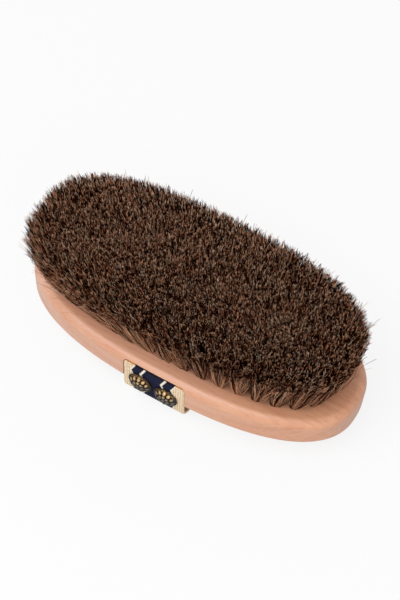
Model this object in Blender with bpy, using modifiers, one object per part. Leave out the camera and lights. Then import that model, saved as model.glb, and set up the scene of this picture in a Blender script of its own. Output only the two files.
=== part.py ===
"""An oval beech brush with horsehair tufts and a webbing hand strap, lying on its back.

The long axis is X, the bristles point up (+Z) and z = 0 is the surface under the strap.
The near side is the one towards -Y. All lengths are in metres.
"""

import math

import bmesh
import bpy
import numpy as np
from mathutils import Matrix

# Block: a one-piece wooden oval, |x/a|^power + |y/b|^power = 1 seen from above
BLOCK_LENGTH = 0.200
BLOCK_WIDTH = 0.088
BLOCK_HEIGHT = 0.0194
BLOCK_POWER = 2.4
FACE_EDGE_RADIUS = 0.0053
BACK_EDGE_RADIUS = 0.0018

# Hand strap: webbing that hangs as a loop under the block's back
STRAP_WIDTH = 0.038
STRAP_THICKNESS = 0.0022
STRAP_SHIFT = -0.0018
STRAP_DROP = 0.017
STRAP_RISE = 0.0169
STRAP_INSET = 0.0004
STRAP_BEND_RADIUS = 0.012
STRAP_EDGE_RADIUS = 0.0006
NOTCH_HEADROOM = 0.0006

# Decorative tacks: a stamped dome over the head of a steel pin, two at each end of the strap
TACK_DIAMETER = 0.0145
TACK_DOME_HEIGHT = 0.0034
TACK_SHEET = 0.0006
TACK_RIM_WIDTH = 0.0008
TACK_RIM_HEIGHT = 0.0007
TACK_PITCH = 0.0160
TACK_RISE = 0.0034
TACK_STAGGER = 0.0008
PIN_DIAMETER = 0.0018
PIN_LENGTH = 0.0160
PIN_POINT = 0.0030
PIN_HEAD_DIAMETER = 0.0060
PIN_HEAD_THICKNESS = 0.0007

# Horsehair: concentric rings of tufts round one straight row
HAIR_LENGTH = 0.0361
END_MARGIN = 0.0179
SIDE_MARGIN = 0.0133
ROOT_POWER = 2.94
END_SPLAY = 0.0127
SIDE_SPLAY = 0.0117
TIP_POWER = 2.6
TIP_LEAN = -0.0026
RING_COUNT = 3
TUFT_PITCH = 0.0102
TUFT_HOLE_DIAMETER = 0.0050
TUFT_HOLE_DEPTH = 0.0085
LOCK_ROOT_REACH = 0.0022
LOCK_ROOT_GAP = 0.0003
LOCK_TIP_GAP = 0.0013
ROW_TIP_SHARE = 0.93

# Slice of backing that carries a ring's tufts, let into a groove in the block's face
SLICE_WIDTH = 0.0068
SLICE_THICKNESS = 0.0015
SLICE_SINK_SHARE = 0.5

# Clearance between pieces that touch, and how far a cutter runs past what it cuts
FIT_GAP = 0.0003
OVERRUN = 0.001
WELD_DISTANCE = 0.000005

# Facets
BLOCK_POINTS = 72
FACE_EDGE_SEGMENTS = 4
BACK_EDGE_SEGMENTS = 2
SLICE_POINTS = 48
SLOT_END_POINTS = 7
OUTLINE_SAMPLES = 1440
BEND_SEGMENTS = 8
STRAP_EDGE_SEGMENTS = 2
DOME_SEGMENTS = 4
CAP_STEPS = 20
PIN_STEPS = 12
TUFT_SIDES = 5

# Heights and fields that the sizes above give: the outer tufts' roots lie a margin in from the
# block's edge, and the tips splay out from the roots
BACK_Z = STRAP_DROP
FACE_Z = BACK_Z + BLOCK_HEIGHT
TIP_Z = FACE_Z + HAIR_LENGTH
ROOT_FIELD_LENGTH = BLOCK_LENGTH - 2 * END_MARGIN
ROOT_FIELD_WIDTH = BLOCK_WIDTH - 2 * SIDE_MARGIN
TIP_FIELD_LENGTH = ROOT_FIELD_LENGTH + 2 * END_SPLAY
TIP_FIELD_WIDTH = ROOT_FIELD_WIDTH + 2 * SIDE_SPLAY
STRAP_FACE_Y = BLOCK_WIDTH / 2 - STRAP_INSET
ROOT_STEP = ROOT_FIELD_WIDTH / (2 * RING_COUNT)
TIP_STEP = TIP_FIELD_WIDTH / (2 * RING_COUNT + 1)
CAP_SEAT_Y = STRAP_FACE_Y + FIT_GAP

WOOD = ("beech", (0.73, 0.42, 0.27), 0.45, 0.0)
WEBBING = ("webbing", (0.10, 0.11, 0.20), 0.85, 0.0)
BRASS = ("antique_brass", (0.30, 0.24, 0.14), 0.38, 1.0)
STEEL = ("pin_steel", (0.55, 0.55, 0.56), 0.35, 1.0)
HORSEHAIR = ("horsehair", (0.075, 0.042, 0.027), 0.50, 0.0)

SIDES = {"near": -1, "far": 1}
PLACES = {"left": -1, "right": 1}


def clear_scene():
    """Removes the startup objects and adds the collections of the parts and the cutters."""
    for found in list(bpy.data.objects):
        bpy.data.objects.remove(found, do_unlink=True)
    for name in ("oval_strap_brush", "cutters"):
        bpy.context.scene.collection.children.link(bpy.data.collections.new(name))


def material(finish):
    """The Principled material of a finish: its name, colour, roughness and metallic value."""
    name, colour, roughness, metallic = finish
    if name in bpy.data.materials:
        return bpy.data.materials[name]
    made = bpy.data.materials.new(name)
    made.use_nodes = True
    shader = made.node_tree.nodes["Principled BSDF"]
    shader.inputs["Base Color"].default_value = (*colour, 1.0)
    shader.inputs["Roughness"].default_value = roughness
    shader.inputs["Metallic"].default_value = metallic
    made.diffuse_color = (*colour, 1.0)
    return made


def part(name, mesh, finish):
    """A named piece of the brush."""
    made = bpy.data.objects.new(name, mesh)
    if not mesh.materials:
        mesh.materials.append(material(finish))
    bpy.data.collections["oval_strap_brush"].objects.link(made)
    return made


def cutter(name, mesh):
    """A shape that a Boolean reads and no render shows."""
    made = bpy.data.objects.new(name, mesh)
    made.hide_render = True
    made.display_type = "WIRE"
    bpy.data.collections["cutters"].objects.link(made)
    return made


def mesh_of(name, built):
    """The mesh of a bmesh, with its faces pointing out."""
    bmesh.ops.recalc_face_normals(built, faces=built.faces)
    mesh = bpy.data.meshes.new(name)
    built.to_mesh(mesh)
    built.free()
    return mesh


def boolean(target, tool, operation):
    """Cuts the tool out of the target, or joins it on."""
    step = target.modifiers.new(f"{operation.lower()}_{tool.name}", "BOOLEAN")
    step.operation = operation
    step.solver = "EXACT"
    step.object = tool


def oval(half_length, half_width, power):
    """A closed outline sampled finely from its far +X point, as an array of points."""
    angles = np.linspace(0, 2 * math.pi, OUTLINE_SAMPLES, endpoint=False)
    cosines = np.cos(angles)
    sines = np.sin(angles)
    x = half_length * np.sign(cosines) * np.abs(cosines) ** (2 / power)
    y = half_width * np.sign(sines) * np.abs(sines) ** (2 / power)
    return np.stack([x, y], axis=1)


def perimeter_of(outline):
    return float(np.linalg.norm(np.roll(outline, -1, axis=0) - outline, axis=1).sum())


def at_shares(outline, shares):
    """The points at these shares of the way round a closed outline."""
    closed = np.vstack([outline, outline[:1]])
    steps = np.linalg.norm(np.diff(closed, axis=0), axis=1)
    reached = np.concatenate([[0.0], np.cumsum(steps)])
    wanted = np.mod(shares, 1.0) * reached[-1]
    return np.stack([np.interp(wanted, reached, closed[:, axis]) for axis in (0, 1)], axis=1)


def evenly_round(outline, count):
    return at_shares(outline, np.arange(count) / count)


def slot(half_length, radius):
    """A straight slot with round ends, centred on the origin."""
    swing = np.linspace(-math.pi / 2, math.pi / 2, SLOT_END_POINTS)
    end = np.stack([half_length + radius * np.cos(swing), radius * np.sin(swing)], axis=1)
    return np.vstack([end, -end])


def plate(name, outlines, low, high):
    """A flat plate between two heights; a second outline is a hole in it."""
    curve = bpy.data.curves.new(name, "CURVE")
    curve.dimensions = "2D"
    curve.fill_mode = "BOTH"
    curve.extrude = (high - low) / 2
    for outline in outlines:
        spline = curve.splines.new("POLY")
        spline.points.add(len(outline) - 1)
        for point, (x, y) in zip(spline.points, outline):
            point.co = (x, y, 0, 1)
        spline.use_cyclic_u = True
    holder = bpy.data.objects.new(name, curve)
    bpy.context.scene.collection.objects.link(holder)
    graph = bpy.context.evaluated_depsgraph_get()
    filled = bpy.data.meshes.new_from_object(holder.evaluated_get(graph))
    bpy.data.objects.remove(holder)
    bpy.data.curves.remove(curve)
    built = bmesh.new()
    built.from_mesh(filled)
    bpy.data.meshes.remove(filled)
    bmesh.ops.remove_doubles(built, verts=built.verts, dist=WELD_DISTANCE)
    bmesh.ops.translate(built, verts=built.verts, vec=(0, 0, (low + high) / 2))
    return built


def level_edges(built, height):
    """The outline edges that lie at one height, where a side meets a flat face."""
    found = []
    for edge in built.edges:
        flat = all(abs(corner.co.z - height) < WELD_DISTANCE for corner in edge.verts)
        if flat and abs(edge.calc_face_angle(0) - math.pi / 2) < math.pi / 4:
            found.append(edge)
    return found


def build_block():
    """The oval block with its rounded rims, strap notches, slice grooves and drilled holes."""
    outline = evenly_round(oval(BLOCK_LENGTH / 2, BLOCK_WIDTH / 2, BLOCK_POWER), BLOCK_POINTS)
    built = plate("block", [outline], BACK_Z, FACE_Z)
    bmesh.ops.dissolve_limit(
        built, angle_limit=math.radians(1), verts=built.verts, edges=built.edges
    )
    rims = (
        (FACE_Z, FACE_EDGE_RADIUS, FACE_EDGE_SEGMENTS),
        (BACK_Z, BACK_EDGE_RADIUS, BACK_EDGE_SEGMENTS),
    )
    for height, radius, segments in rims:
        bmesh.ops.bevel(
            built,
            geom=level_edges(built, height),
            offset=radius,
            offset_type="OFFSET",
            segments=segments,
            profile=0.5,
            affect="EDGES",
        )
    block = part("block", mesh_of("block", built), WOOD)
    block.data.shade_smooth()
    block.data.set_sharp_from_angle(angle=math.radians(35))
    boolean(block, build_notch_cutter(), "DIFFERENCE")
    for hole in PIN_HOLES:
        boolean(block, hole, "DIFFERENCE")
    return block


def build_notch_cutter():
    """Two boxes that cut the strap's notches, one in each long side."""
    floor = STRAP_FACE_Y - STRAP_THICKNESS - FIT_GAP
    outside = BLOCK_WIDTH / 2 + OVERRUN
    low = BACK_Z - OVERRUN
    high = BACK_Z + STRAP_RISE + NOTCH_HEADROOM
    size = (STRAP_WIDTH + 2 * FIT_GAP, outside - floor, high - low)
    built = bmesh.new()
    for facing in SIDES.values():
        centre = (STRAP_SHIFT, facing * (floor + outside) / 2, (low + high) / 2)
        place = Matrix.Translation(centre) @ Matrix.Diagonal((*size, 1))
        bmesh.ops.create_cube(built, size=1, matrix=place)
    return cutter("notch_cutter", mesh_of("notch_cutter", built))


def build_strap():
    """The webbing: one half as an open surface, mirrored across the brush and thickened."""
    middle_y = STRAP_FACE_Y - STRAP_THICKNESS / 2
    bend_radius = STRAP_BEND_RADIUS - STRAP_THICKNESS / 2
    path = [(-middle_y, BACK_Z + STRAP_RISE)]
    for turn in np.linspace(0, math.pi / 2, BEND_SEGMENTS + 1):
        y = -middle_y + bend_radius * (1 - math.cos(turn))
        path.append((y, STRAP_BEND_RADIUS - bend_radius * math.sin(turn)))
    path.append((0, STRAP_THICKNESS / 2))
    built = bmesh.new()
    edges = [STRAP_SHIFT - STRAP_WIDTH / 2, STRAP_SHIFT + STRAP_WIDTH / 2]
    rows = [[built.verts.new((x, y, z)) for x in edges] for y, z in path]
    for (a, b), (d, c) in zip(rows, rows[1:]):
        built.faces.new((a, b, c, d))
    mesh = bpy.data.meshes.new("strap")
    built.to_mesh(mesh)
    built.free()
    strap = part("strap", mesh, WEBBING)
    mirror = strap.modifiers.new("far_half", "MIRROR")
    mirror.use_axis = (False, True, False)
    mirror.merge_threshold = WELD_DISTANCE
    thicken = strap.modifiers.new("thickness", "SOLIDIFY")
    thicken.thickness = STRAP_THICKNESS
    thicken.offset = 0
    thicken.use_even_offset = True
    soften = strap.modifiers.new("soft_edges", "BEVEL")
    soften.width = STRAP_EDGE_RADIUS
    soften.segments = STRAP_EDGE_SEGMENTS
    soften.limit_method = "ANGLE"
    soften.angle_limit = math.radians(60)
    for hole in PIN_HOLES:
        boolean(strap, hole, "DIFFERENCE")
    return strap


def tack_place(facing, place):
    """The turned frame of a tack: its origin on the strap's face, its +Z out of the side."""
    x = STRAP_SHIFT + place * TACK_PITCH / 2
    lowered = TACK_STAGGER if place > 0 else 0
    seat = Matrix.Translation((x, facing * CAP_SEAT_Y, BACK_Z + TACK_RISE - lowered))
    return seat @ Matrix.Rotation(-facing * math.pi / 2, 4, "X")


def dome_height(radius, crown, reach):
    """How high a round-shouldered dome stands over its rim, at a distance from its axis."""
    shoulder = math.sqrt(max(0.0, 1 - (radius / reach) ** 2))
    return TACK_RIM_HEIGHT + (crown - TACK_RIM_HEIGHT) * shoulder


def turned(name, profile, steps, finish):
    """A mesh profile in XZ, and the Screw that turns it about Z."""
    mesh = bpy.data.meshes.new(name)
    mesh.from_pydata([(r, 0, z) for r, z in profile], [(i, i + 1) for i in range(len(profile) - 1)], [])
    made = part(name, mesh, finish)
    screw = made.modifiers.new("turn", "SCREW")
    screw.steps = steps
    screw.render_steps = steps
    screw.use_merge_vertices = True
    screw.merge_threshold = WELD_DISTANCE
    screw.use_smooth_shade = True
    return made


def cap_profile():
    """Down the outside of the dome, round its rolled rim, and back up inside."""
    outer_radius = TACK_DIAMETER / 2
    outer_reach = outer_radius - TACK_RIM_WIDTH
    inner_reach = outer_reach - TACK_SHEET
    outer = [outer_reach * step / DOME_SEGMENTS for step in range(DOME_SEGMENTS + 1)]
    inner = [inner_reach * step / DOME_SEGMENTS for step in range(DOME_SEGMENTS, -1, -1)]
    profile = [(r, dome_height(r, TACK_DOME_HEIGHT, outer_reach)) for r in outer]
    profile.append((outer_radius - TACK_RIM_WIDTH / 4, TACK_RIM_HEIGHT))
    profile.append((outer_radius, TACK_RIM_HEIGHT / 2))
    profile.append((outer_radius - TACK_RIM_WIDTH / 4, 0))
    profile.append((inner_reach, 0))
    crown = TACK_DOME_HEIGHT - TACK_SHEET
    profile += [(r, dome_height(r, crown, inner_reach) - TACK_SHEET / 2) for r in inner]
    return profile


def pin_profile():
    """The pin's flat head under the dome, its shank through strap and wood, and its point."""
    shank = PIN_DIAMETER / 2
    head = PIN_HEAD_DIAMETER / 2
    inner_reach = TACK_DIAMETER / 2 - TACK_RIM_WIDTH - TACK_SHEET
    inner_height = dome_height(head, TACK_DOME_HEIGHT - TACK_SHEET, inner_reach)
    top = inner_height - TACK_SHEET / 2 - FIT_GAP
    return [
        (0, top),
        (head, top),
        (head, top - PIN_HEAD_THICKNESS),
        (shank, top - PIN_HEAD_THICKNESS),
        (shank, PIN_POINT - PIN_LENGTH),
        (0, -PIN_LENGTH),
    ]


def build_tacks():
    """The four tacks, each a brass cap and a steel pin."""
    for side, facing in SIDES.items():
        for place, direction in PLACES.items():
            frame = tack_place(facing, direction)
            cap = turned(f"{side}_{place}_tack_cap", cap_profile(), CAP_STEPS, BRASS)
            pin = turned(f"{side}_{place}_tack_pin", pin_profile(), PIN_STEPS, STEEL)
            cap.matrix_world = frame
            pin.matrix_world = frame


def build_pin_holes():
    """The holes that the pins make in the strap and the wood."""
    holes = []
    low = -PIN_LENGTH - FIT_GAP
    for side, facing in SIDES.items():
        for place, direction in PLACES.items():
            built = bmesh.new()
            radius = PIN_DIAMETER / 2 + FIT_GAP
            bmesh.ops.create_cone(
                built,
                cap_ends=True,
                segments=PIN_STEPS,
                radius1=radius,
                radius2=radius,
                depth=OVERRUN - low,
                matrix=Matrix.Translation((0, 0, (OVERRUN + low) / 2)),
            )
            name = f"{side}_{place}_pin_hole"
            hole = cutter(name, mesh_of(name, built))
            hole.matrix_world = tack_place(facing, direction)
            holes.append(hole)
    return holes


def inset(triangle, distance):
    """A triangle with each side moved inwards by a distance, about its inscribed circle."""
    a, b, c = triangle
    sides = np.array([np.linalg.norm(b - c), np.linalg.norm(c - a), np.linalg.norm(a - b)])
    incentre = (sides[:, None] * triangle).sum(axis=0) / sides.sum()
    area = abs((b[0] - a[0]) * (c[1] - a[1]) - (b[1] - a[1]) * (c[0] - a[0])) / 2
    inradius = 2 * area / sides.sum()
    return incentre + (triangle - incentre) * (1 - distance / inradius)


def locks_of(centre, tip_corners):
    """Four three-sided locks of hair: the quarters that a cell's two diagonals make.

    The root cell is the tip cell drawn in to the tuft's hole, so the locks can't cross.
    """
    tip_middle = tip_corners.mean(axis=0)
    spokes = tip_corners - tip_middle
    drawn_in = LOCK_ROOT_REACH / np.linalg.norm(spokes, axis=1).max()
    root_corners = centre + drawn_in * spokes
    locks = []
    for i in range(4):
        j = (i + 1) % 4
        root = np.array([root_corners[i], root_corners[j], centre])
        tip = np.array([tip_corners[i], tip_corners[j], tip_middle])
        locks.append((inset(root, LOCK_ROOT_GAP / 2), inset(tip, LOCK_TIP_GAP / 2)))
    return locks


def ring_tufts(ring):
    """Each tuft of a ring: its hole's centre and its locks."""
    root = oval(
        ROOT_FIELD_LENGTH / 2 - ring * ROOT_STEP, ROOT_FIELD_WIDTH / 2 - ring * ROOT_STEP, ROOT_POWER
    )
    tips = [
        oval(TIP_FIELD_LENGTH / 2 - level * TIP_STEP, TIP_FIELD_WIDTH / 2 - level * TIP_STEP, TIP_POWER)
        for level in (ring, ring + 1)
    ]
    count = round(perimeter_of(root) / TUFT_PITCH)
    starts = np.arange(count) / count
    ends = starts + 1 / count
    centres = at_shares(root, starts + 1 / (2 * count))
    lean = np.array([TIP_LEAN, 0])
    corners = [
        at_shares(tips[0], starts),
        at_shares(tips[0], ends),
        at_shares(tips[1], ends),
        at_shares(tips[1], starts),
    ]
    tufts = []
    for i in range(count):
        tip = np.array([corner[i] for corner in corners]) + lean
        tufts.append((centres[i], locks_of(centres[i], tip)))
    return tufts


def row_half_lengths():
    """Half the length of the middle row, at its roots and at its tips."""
    root = ROOT_FIELD_LENGTH / 2 - RING_COUNT * ROOT_STEP
    tip = ROW_TIP_SHARE * (TIP_FIELD_LENGTH / 2 - RING_COUNT * TIP_STEP)
    return root, tip


def row_tufts():
    """The tufts of the straight row inside the last ring."""
    root_half, tip_half = row_half_lengths()
    count = round(2 * root_half / TUFT_PITCH) + 1
    inner_half = tip_half / ROW_TIP_SHARE
    borders = np.linspace(-tip_half, tip_half, count + 1)
    breadths = TIP_STEP / 2 * (1 - np.abs(borders / inner_half) ** TIP_POWER) ** (1 / TIP_POWER)
    tufts = []
    for i, x in enumerate(np.linspace(-root_half, root_half, count)):
        centre = np.array([x, 0])
        tip = np.array(
            [
                (borders[i], -breadths[i]),
                (borders[i + 1], -breadths[i + 1]),
                (borders[i + 1], breadths[i + 1]),
                (borders[i], breadths[i]),
            ]
        )
        tip[:, 0] += TIP_LEAN
        tufts.append((centre, locks_of(centre, tip)))
    return tufts


def slice_outlines(ring, spare):
    """The outlines of a ring's slice, or with some spare room those of its groove."""
    half = SLICE_WIDTH / 2 + spare
    if ring == RING_COUNT:
        return [slot(row_half_lengths()[0], half)]
    inner = ROOT_FIELD_LENGTH / 2 - ring * ROOT_STEP, ROOT_FIELD_WIDTH / 2 - ring * ROOT_STEP
    return [
        evenly_round(oval(inner[0] + grown, inner[1] + grown, ROOT_POWER), SLICE_POINTS)
        for grown in (half, -half)
    ]


def loft(built, low, low_z, high, high_z):
    """A closed solid between two outlines with as many corners, at two heights."""
    bottom = [built.verts.new((x, y, low_z)) for x, y in low]
    top = [built.verts.new((x, y, high_z)) for x, y in high]
    built.faces.new(bottom[::-1])
    built.faces.new(top)
    for i in range(len(bottom)):
        j = (i + 1) % len(bottom)
        built.faces.new((bottom[i], bottom[j], top[j], top[i]))


def pegs(name, tufts, radius, low, high):
    """Upright pegs at the tufts' holes."""
    built = bmesh.new()
    for (x, y), _ in tufts:
        bmesh.ops.create_cone(
            built,
            cap_ends=True,
            segments=TUFT_SIDES,
            radius1=radius,
            radius2=radius,
            depth=high - low,
            matrix=Matrix.Translation((x, y, (low + high) / 2)),
        )
    return cutter(name, mesh_of(name, built))


def build_bristles(block):
    """A node for each ring of tufts: the hair above, its slice of backing, and its roots."""
    slice_low = FACE_Z - SLICE_THICKNESS
    sunk = FACE_Z - SLICE_THICKNESS * SLICE_SINK_SHARE
    hole_radius = TUFT_HOLE_DIAMETER / 2
    for ring in range(RING_COUNT + 1):
        name = "bristle_middle_row" if ring == RING_COUNT else f"bristle_ring_{ring + 1}"
        tufts = row_tufts() if ring == RING_COUNT else ring_tufts(ring)
        groove = plate(
            f"{name}_groove", slice_outlines(ring, FIT_GAP), slice_low - FIT_GAP, FACE_Z + OVERRUN
        )
        boolean(block, cutter(f"{name}_groove", mesh_of(f"{name}_groove", groove)), "DIFFERENCE")
        hole_low = FACE_Z - TUFT_HOLE_DEPTH
        boolean(block, pegs(f"{name}_holes", tufts, hole_radius, hole_low, sunk), "DIFFERENCE")
        bristles = part(
            name, mesh_of(name, plate(name, slice_outlines(ring, 0), slice_low, FACE_Z)), HORSEHAIR
        )
        hair = bmesh.new()
        for _, locks in tufts:
            for root, tip in locks:
                loft(hair, at_height(root, tip, sunk), sunk, tip, TIP_Z)
        boolean(bristles, cutter(f"{name}_hair", mesh_of(f"{name}_hair", hair)), "UNION")
        roots = pegs(f"{name}_roots", tufts, hole_radius - FIT_GAP, hole_low + FIT_GAP, sunk)
        boolean(bristles, roots, "UNION")


def at_height(root, tip, height):
    """A lock's section where its straight sides, carried on, reach a height."""
    return root + (tip - root) * (height - FACE_Z) / HAIR_LENGTH


clear_scene()
PIN_HOLES = build_pin_holes()
BLOCK = build_block()
build_bristles(BLOCK)
build_strap()
build_tacks()
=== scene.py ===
"""Dresses an oval horsehair brush that lies on its back: beech, tufts, webbing and nails.

The brush's length is X, the photographed side is -Y and the bristles point up (+Z).
Lengths are in metres, colours are sRGB bytes, and every random draw is seeded.
"""

import math

import bmesh
import bpy
import numpy as np
from mathutils import Matrix, Vector


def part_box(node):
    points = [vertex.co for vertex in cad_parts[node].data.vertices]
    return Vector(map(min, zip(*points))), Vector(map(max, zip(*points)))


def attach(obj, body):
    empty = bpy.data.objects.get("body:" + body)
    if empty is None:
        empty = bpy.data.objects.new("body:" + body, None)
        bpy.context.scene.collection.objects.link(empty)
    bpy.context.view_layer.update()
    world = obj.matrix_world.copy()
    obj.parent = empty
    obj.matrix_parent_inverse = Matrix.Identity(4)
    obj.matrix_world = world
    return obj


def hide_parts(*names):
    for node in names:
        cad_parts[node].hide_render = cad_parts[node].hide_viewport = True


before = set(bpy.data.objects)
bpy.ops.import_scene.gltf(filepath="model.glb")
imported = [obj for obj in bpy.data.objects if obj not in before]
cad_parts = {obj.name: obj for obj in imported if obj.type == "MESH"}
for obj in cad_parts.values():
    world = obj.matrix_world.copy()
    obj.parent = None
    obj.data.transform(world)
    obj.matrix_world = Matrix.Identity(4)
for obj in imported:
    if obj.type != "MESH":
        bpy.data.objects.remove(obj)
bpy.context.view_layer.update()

# The block is one piece of beech, sawn to an oval and sanded, with a soft rim round the bristle
# face and a tight one round the back. Blind holes take the tufts, and a shallow notch in each
# long side takes an end of the strap. A thin satin lacquer seals it.
BLOCK_POWER = 2.4
BLOCK_CREASE = 30
FACE_RIM = 0.0053
BACK_RIM = 0.0018
RIM_STEPS = 12
OUTLINE_POINTS = 360
OUTLINE_SAMPLES = 2880
FIT_GAP = 0.0003
OVERRUN = 0.001
NOTCH_HEADROOM = 0.0006
NOTCH_CORNER_STEPS = 6
STRAP_THICKNESS = 0.0022
STRAP_CORNER = 0.0025
TUFT_HOLE_DIAMETER = 0.0050
TUFT_HOLE_DEPTH = 0.0085
TUFT_PITCH = 0.0102
PIN_HOLE_DIAMETER = 0.0024
HOLE_SIDES = 20
RING_COUNT = 3
END_MARGIN = 0.0179
SIDE_MARGIN = 0.0133
ROOT_POWER = 2.94

block_low, block_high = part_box("block")
strap_low, strap_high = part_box("strap")
back_z = block_low.z
face_z = block_high.z
half_length = (block_high.x - block_low.x) / 2
half_width = (block_high.y - block_low.y) / 2
root_half_length = half_length - END_MARGIN
root_half_width = half_width - SIDE_MARGIN
root_step = root_half_width / RING_COUNT


def oval(half_x, half_y, power):
    """Points round |x/a|^power + |y/b|^power = 1, counterclockwise from the +X end."""
    turn = np.linspace(0, 2 * math.pi, OUTLINE_SAMPLES, endpoint=False)
    x = half_x * np.sign(np.cos(turn)) * np.abs(np.cos(turn)) ** (2 / power)
    y = half_y * np.sign(np.sin(turn)) * np.abs(np.sin(turn)) ** (2 / power)
    return np.stack([x, y], axis=1)


def length_round(outline):
    return float(np.linalg.norm(np.roll(outline, -1, axis=0) - outline, axis=1).sum())


def at_shares(outline, shares):
    """The points at these shares of the way round a closed outline."""
    closed = np.vstack([outline, outline[:1]])
    reached = np.append(0, np.cumsum(np.linalg.norm(np.diff(closed, axis=0), axis=1)))
    wanted = np.mod(shares, 1) * reached[-1]
    return np.stack([np.interp(wanted, reached, closed[:, axis]) for axis in (0, 1)], axis=1)


def root_oval(ring):
    """The oval through a ring's holes, counted from the outer ring."""
    inset = ring * root_step
    return oval(root_half_length - inset, root_half_width - inset, ROOT_POWER)


def hole_centres(ring):
    """The tuft holes of a ring, or of the straight row inside the last ring."""
    if ring < RING_COUNT:
        outline = root_oval(ring)
        count = round(length_round(outline) / TUFT_PITCH)
        return at_shares(outline, (np.arange(count) + 0.5) / count)
    row_half = root_half_length - RING_COUNT * root_step
    count = round(2 * row_half / TUFT_PITCH) + 1
    return np.stack([np.linspace(-row_half, row_half, count), np.zeros(count)], axis=1)


def join_rings(shape, rings):
    """Quads between closed rings of as many corners, each counterclockwise seen from the last."""
    for lower, upper in zip(rings, rings[1:]):
        for i in range(len(lower)):
            j = (i + 1) % len(lower)
            shape.faces.new((lower[i], lower[j], upper[j], upper[i]))


def close_ends(shape, rings):
    """One face over each open end of joined rings."""
    shape.faces.new(rings[0][::-1])
    shape.faces.new(rings[-1])


def bore(cutter, diameter, depth, place):
    """Adds a round hole's shape to a cutter, along the Z axis of a matrix and centred on it."""
    bmesh.ops.create_cone(
        cutter,
        cap_ends=True,
        segments=HOLE_SIDES,
        radius1=diameter / 2,
        radius2=diameter / 2,
        depth=depth,
        matrix=place,
    )


def put_in_scene(name, data):
    """A new object of this mesh, lamp or camera, linked to the scene."""
    made = bpy.data.objects.new(name, data)
    bpy.context.scene.collection.objects.link(made)
    return made


def piece(name, shape, finish, crease=None):
    """An object of the brush from a bmesh, smooth but for edges sharper than the crease angle."""
    mesh = bpy.data.meshes.new(name)
    shape.to_mesh(mesh)
    shape.free()
    mesh.materials.append(finish)
    mesh.shade_smooth()
    if crease:
        mesh.set_sharp_from_angle(angle=math.radians(crease))
    return put_in_scene(name, mesh)


def set_on_brush(made, slot, *nodes):
    """Fixes a piece to the brush in the place of its CAD nodes."""
    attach(made, "root")
    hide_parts(*nodes)


def linear(red, green, blue):
    """A colour in sRGB bytes as the linear RGBA that a shader takes."""
    shares = [value / 255 for value in (red, green, blue)]
    return (*[s / 12.92 if s <= 0.04045 else ((s + 0.055) / 1.055) ** 2.4 for s in shares], 1.0)


class Wire:
    """A socket in a material: arithmetic on it adds Math nodes, and add() any other node."""

    def __init__(self, tree, socket=None):
        self.tree = tree
        self.socket = socket

    def add(self, kind, settings=None, inputs=None, output=0):
        """Adds a node: first its settings, then the values or links of its sockets."""
        node = self.tree.nodes.new(kind)
        for name, value in (settings or {}).items():
            if name == "stops":
                ramp = node.color_ramp.elements
                while len(ramp) < len(value):
                    ramp.new(1.0)
                for stop, (position, colour) in zip(ramp, value):
                    stop.position = position
                    stop.color = colour
            else:
                setattr(node, name, value)
        for key, value in (inputs or {}).items():
            if isinstance(value, Wire):
                self.tree.links.new(value.socket, node.inputs[key])
            else:
                node.inputs[key].default_value = value
        return Wire(self.tree, node.outputs[output])

    def maths(self, operation, *others):
        terms = dict(enumerate((self, *others)))
        return self.add("ShaderNodeMath", {"operation": operation}, terms)

    def __add__(self, other):
        return self.maths("ADD", other)

    def __sub__(self, other):
        return self.maths("SUBTRACT", other)

    def __rsub__(self, other):
        return self.add("ShaderNodeMath", {"operation": "SUBTRACT"}, {0: other, 1: self})

    def __mul__(self, other):
        return self.maths("MULTIPLY", other)

    def __abs__(self):
        return self.maths("ABSOLUTE")

    __radd__ = __add__
    __rmul__ = __mul__

    def place(self):
        """Where a point of the object lies."""
        return self.add("ShaderNodeTexCoord", output="Object")

    def part(self, axis):
        """One axis of this place or direction."""
        return self.add("ShaderNodeSeparateXYZ", {}, {0: self}, axis)

    def stored(self, name):
        """A value that the mesh holds at its corners."""
        return self.add("ShaderNodeAttribute", {"attribute_name": name}, output="Fac")

    def steep(self, low, high):
        """Climbs from 0 at low to 1 at high."""
        sockets = {"Value": self, "From Min": low, "From Max": high}
        return self.add("ShaderNodeMapRange", {"interpolation_type": "SMOOTHSTEP"}, sockets)

    def between(self, first, second):
        """The first colour where this is 0 and the second where it is 1."""
        return self.add("ShaderNodeMix", {"data_type": "RGBA"}, {0: self, 6: first, 7: second}, 2)

    def ramp(self, stops):
        """The colour at this share of the way along a row of stops."""
        return self.add("ShaderNodeValToRGB", {"stops": stops}, {0: self}, "Color")

    def cloud(self, feature, detail=2.0):
        """Noise whose blobs measure about this feature along each axis. This wire is a place."""
        stretch = {0: self, 1: [1 / size for size in feature]}
        spread = self.add("ShaderNodeVectorMath", {"operation": "MULTIPLY"}, stretch)
        return self.add("ShaderNodeTexNoise", {}, {"Vector": spread, "Scale": 1, "Detail": detail})

    def dent(self, depth):
        """The bumped normal of this height, which stands for a relief of that depth."""
        return self.add("ShaderNodeBump", {}, {"Height": self, "Distance": depth}, "Normal")


def new_finish(name, constants):
    """A material, its Principled shader, and a wire that adds nodes to it."""
    made = bpy.data.materials.new(name)
    made.use_nodes = True
    shader = made.node_tree.nodes["Principled BSDF"]
    for socket, value in constants.items():
        shader.inputs[socket].default_value = value
    return made, shader, Wire(made.node_tree)


def drive(shader, socket, wire):
    wire.tree.links.new(wire.socket, shader.inputs[socket])


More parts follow.
